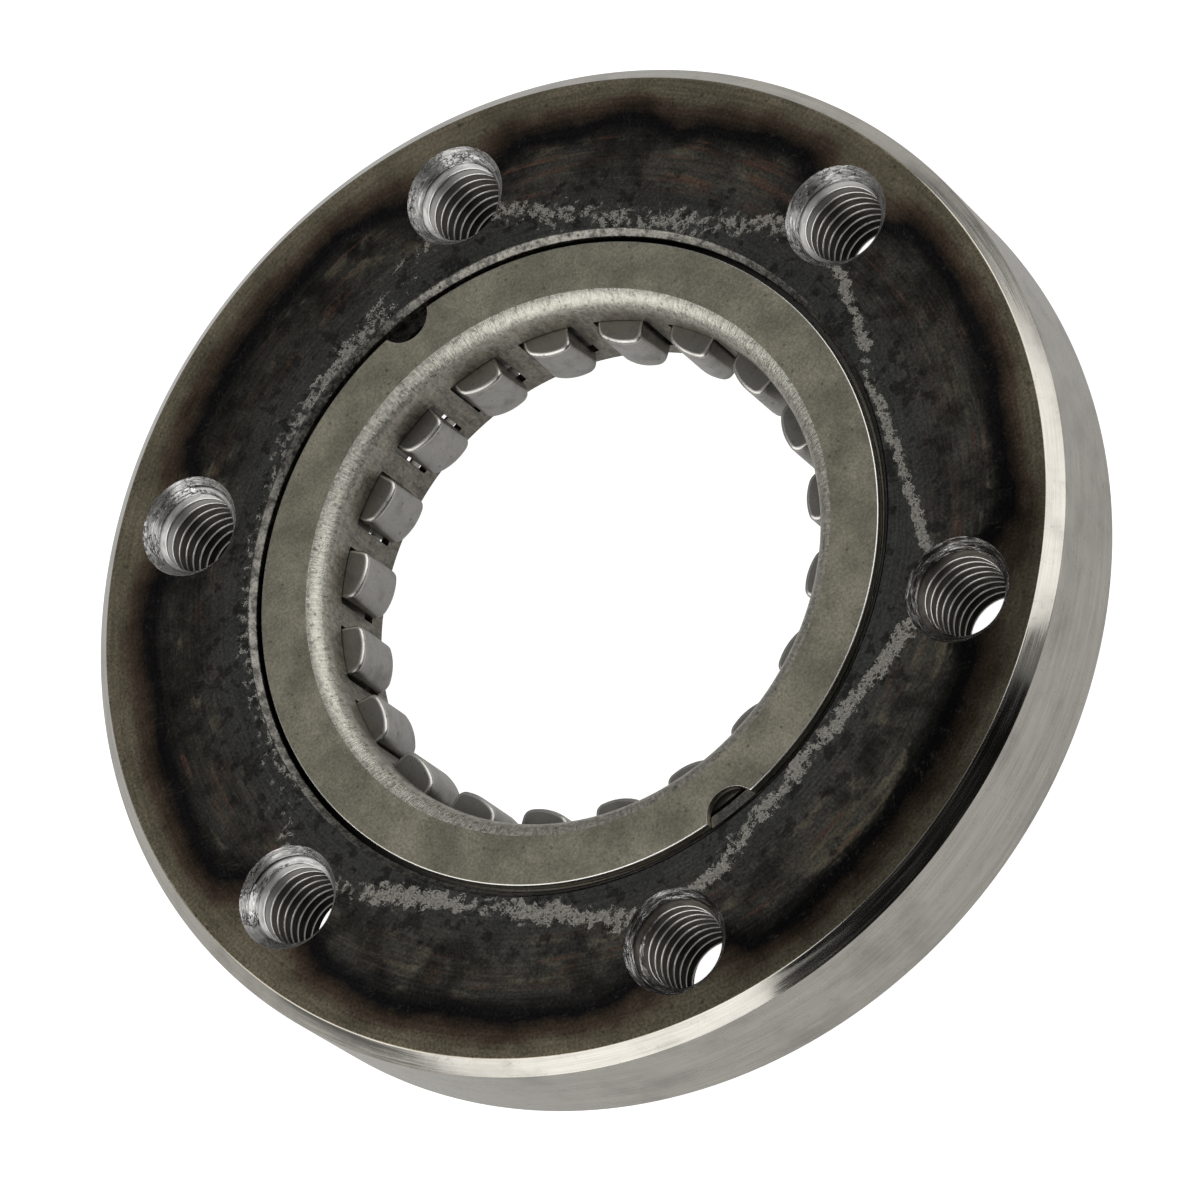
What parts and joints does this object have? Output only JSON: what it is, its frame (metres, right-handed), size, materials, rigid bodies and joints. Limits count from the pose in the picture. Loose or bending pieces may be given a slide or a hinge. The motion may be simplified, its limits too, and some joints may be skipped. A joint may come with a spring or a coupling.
{
  "type": "sprag clutch",
  "caption": "One-way sprag clutch: threaded outer ring with a caged row of sprags that grip a hub one way and let it run free the other.",
  "frame": {"origin": "centre of the outer ring's rear face", "axes": "+Z along the clutch's axis, out of the front face with the cage flange; one bolt hole on +X"},
  "size_m": [0.11, 0.11, 0.015],
  "materials": {
    "ring_steel": "turned and hardened steel, heat tinted front face",
    "cage_steel": "satin drawn sheet",
    "sprag_steel": "tumbled hardened steel",
    "spring_steel": "bright spring strip"
  },
  "bodies": {
    "outer_ring": {"outer_ring": "ring_steel"},
    "outer_cage": {"outer_cage": "cage_steel", "ribbon_spring": "spring_steel"},
    "inner_cage": {"inner_cage": "cage_steel"},
    "sprag_01": {"sprag_01": "sprag_steel"},
    "sprag_02": {"sprag_02": "sprag_steel"},
    "sprag_03": {"sprag_03": "sprag_steel"},
    "sprag_04": {"sprag_04": "sprag_steel"},
    "sprag_05": {"sprag_05": "sprag_steel"},
    "sprag_06": {"sprag_06": "sprag_steel"},
    "sprag_07": {"sprag_07": "sprag_steel"},
    "sprag_08": {"sprag_08": "sprag_steel"},
    "sprag_09": {"sprag_09": "sprag_steel"},
    "sprag_10": {"sprag_10": "sprag_steel"},
    "sprag_11": {"sprag_11": "sprag_steel"},
    "sprag_12": {"sprag_12": "sprag_steel"},
    "sprag_13": {"sprag_13": "sprag_steel"},
    "sprag_14": {"sprag_14": "sprag_steel"},
    "sprag_15": {"sprag_15": "sprag_steel"},
    "sprag_16": {"sprag_16": "sprag_steel"},
    "sprag_17": {"sprag_17": "sprag_steel"},
    "sprag_18": {"sprag_18": "sprag_steel"},
    "sprag_19": {"sprag_19": "sprag_steel"},
    "sprag_20": {"sprag_20": "sprag_steel"}
  },
  "joints": [
    {"name": "cage_spin", "type": "hinge", "parent": "outer_ring", "child": "outer_cage", "pos_m": [0, 0, 0], "axis": [0, 0, 1], "continuous": true},
    {"name": "cage_phase", "type": "hinge", "parent": "outer_cage", "child": "inner_cage", "pos_m": [0, 0, 0], "axis": [0, 0, -1], "range_deg": [0, 1.15], "stiffness_Nm_per_rad": 1},
    {"name": "sprag_01_tilt", "type": "hinge", "parent": "outer_cage", "child": "sprag_01", "pos_m": [0.03125, 0, 0.00643], "axis": [0, 0, 1], "range_deg": [0, 12]},
    {"name": "sprag_02_tilt", "type": "hinge", "parent": "outer_cage", "child": "sprag_02", "pos_m": [0.02972, 0.00966, 0.00643], "axis": [0, 0, 1], "range_deg": [0, 12]},
    {"name": "sprag_03_tilt", "type": "hinge", "parent": "outer_cage", "child": "sprag_03", "pos_m": [0.02528, 0.01837, 0.00643], "axis": [0, 0, 1], "range_deg": [0, 12]},
    {"name": "sprag_04_tilt", "type": "hinge", "parent": "outer_cage", "child": "sprag_04", "pos_m": [0.01837, 0.02528, 0.00643], "axis": [0, 0, 1], "range_deg": [0, 12]},
    {"name": "sprag_05_tilt", "type": "hinge", "parent": "outer_cage", "child": "sprag_05", "pos_m": [0.00966, 0.02972, 0.00643], "axis": [0, 0, 1], "range_deg": [0, 12]},
    {"name": "sprag_06_tilt", "type": "hinge", "parent": "outer_cage", "child": "sprag_06", "pos_m": [0, 0.03125, 0.00643], "axis": [0, 0, 1], "range_deg": [0, 12]},
    {"name": "sprag_07_tilt", "type": "hinge", "parent": "outer_cage", "child": "sprag_07", "pos_m": [-0.00966, 0.02972, 0.00643], "axis": [0, 0, 1], "range_deg": [0, 12]},
    {"name": "sprag_08_tilt", "type": "hinge", "parent": "outer_cage", "child": "sprag_08", "pos_m": [-0.01837, 0.02528, 0.00643], "axis": [0, 0, 1], "range_deg": [0, 12]},
    {"name": "sprag_09_tilt", "type": "hinge", "parent": "outer_cage", "child": "sprag_09", "pos_m": [-0.02528, 0.01837, 0.00643], "axis": [0, 0, 1], "range_deg": [0, 12]},
    {"name": "sprag_10_tilt", "type": "hinge", "parent": "outer_cage", "child": "sprag_10", "pos_m": [-0.02972, 0.00966, 0.00643], "axis": [0, 0, 1], "range_deg": [0, 12]},
    {"name": "sprag_11_tilt", "type": "hinge", "parent": "outer_cage", "child": "sprag_11", "pos_m": [-0.03125, 0, 0.00643], "axis": [0, 0, 1], "range_deg": [0, 12]},
    {"name": "sprag_12_tilt", "type": "hinge", "parent": "outer_cage", "child": "sprag_12", "pos_m": [-0.02972, -0.00966, 0.00643], "axis": [0, 0, 1], "range_deg": [0, 12]},
    {"name": "sprag_13_tilt", "type": "hinge", "parent": "outer_cage", "child": "sprag_13", "pos_m": [-0.02528, -0.01837, 0.00643], "axis": [0, 0, 1], "range_deg": [0, 12]},
    {"name": "sprag_14_tilt", "type": "hinge", "parent": "outer_cage", "child": "sprag_14", "pos_m": [-0.01837, -0.02528, 0.00643], "axis": [0, 0, 1], "range_deg": [0, 12]},
    {"name": "sprag_15_tilt", "type": "hinge", "parent": "outer_cage", "child": "sprag_15", "pos_m": [-0.00966, -0.02972, 0.00643], "axis": [0, 0, 1], "range_deg": [0, 12]},
    {"name": "sprag_16_tilt", "type": "hinge", "parent": "outer_cage", "child": "sprag_16", "pos_m": [0, -0.03125, 0.00643], "axis": [0, 0, 1], "range_deg": [0, 12]},
    {"name": "sprag_17_tilt", "type": "hinge", "parent": "outer_cage", "child": "sprag_17", "pos_m": [0.00966, -0.02972, 0.00643], "axis": [0, 0, 1], "range_deg": [0, 12]},
    {"name": "sprag_18_tilt", "type": "hinge", "parent": "outer_cage", "child": "sprag_18", "pos_m": [0.01837, -0.02528, 0.00643], "axis": [0, 0, 1], "range_deg": [0, 12]},
    {"name": "sprag_19_tilt", "type": "hinge", "parent": "outer_cage", "child": "sprag_19", "pos_m": [0.02528, -0.01837, 0.00643], "axis": [0, 0, 1], "range_deg": [0, 12]},
    {"name": "sprag_20_tilt", "type": "hinge", "parent": "outer_cage", "child": "sprag_20", "pos_m": [0.02972, -0.00966, 0.00643], "axis": [0, 0, 1], "range_deg": [0, 12]}
  ],
  "couplings": [
    {"joint": "sprag_01_tilt", "follows": "cage_phase", "ratio": 10.435},
    {"joint": "sprag_02_tilt", "follows": "cage_phase", "ratio": 10.435},
    {"joint": "sprag_03_tilt", "follows": "cage_phase", "ratio": 10.435},
    {"joint": "sprag_04_tilt", "follows": "cage_phase", "ratio": 10.435},
    {"joint": "sprag_05_tilt", "follows": "cage_phase", "ratio": 10.435},
    {"joint": "sprag_06_tilt", "follows": "cage_phase", "ratio": 10.435},
    {"joint": "sprag_07_tilt", "follows": "cage_phase", "ratio": 10.435},
    {"joint": "sprag_08_tilt", "follows": "cage_phase", "ratio": 10.435},
    {"joint": "sprag_09_tilt", "follows": "cage_phase", "ratio": 10.435},
    {"joint": "sprag_10_tilt", "follows": "cage_phase", "ratio": 10.435},
    {"joint": "sprag_11_tilt", "follows": "cage_phase", "ratio": 10.435},
    {"joint": "sprag_12_tilt", "follows": "cage_phase", "ratio": 10.435},
    {"joint": "sprag_13_tilt", "follows": "cage_phase", "ratio": 10.435},
    {"joint": "sprag_14_tilt", "follows": "cage_phase", "ratio": 10.435},
    {"joint": "sprag_15_tilt", "follows": "cage_phase", "ratio": 10.435},
    {"joint": "sprag_16_tilt", "follows": "cage_phase", "ratio": 10.435},
    {"joint": "sprag_17_tilt", "follows": "cage_phase", "ratio": 10.435},
    {"joint": "sprag_18_tilt", "follows": "cage_phase", "ratio": 10.435},
    {"joint": "sprag_19_tilt", "follows": "cage_phase", "ratio": 10.435},
    {"joint": "sprag_20_tilt", "follows": "cage_phase", "ratio": 10.435}
  ]
}
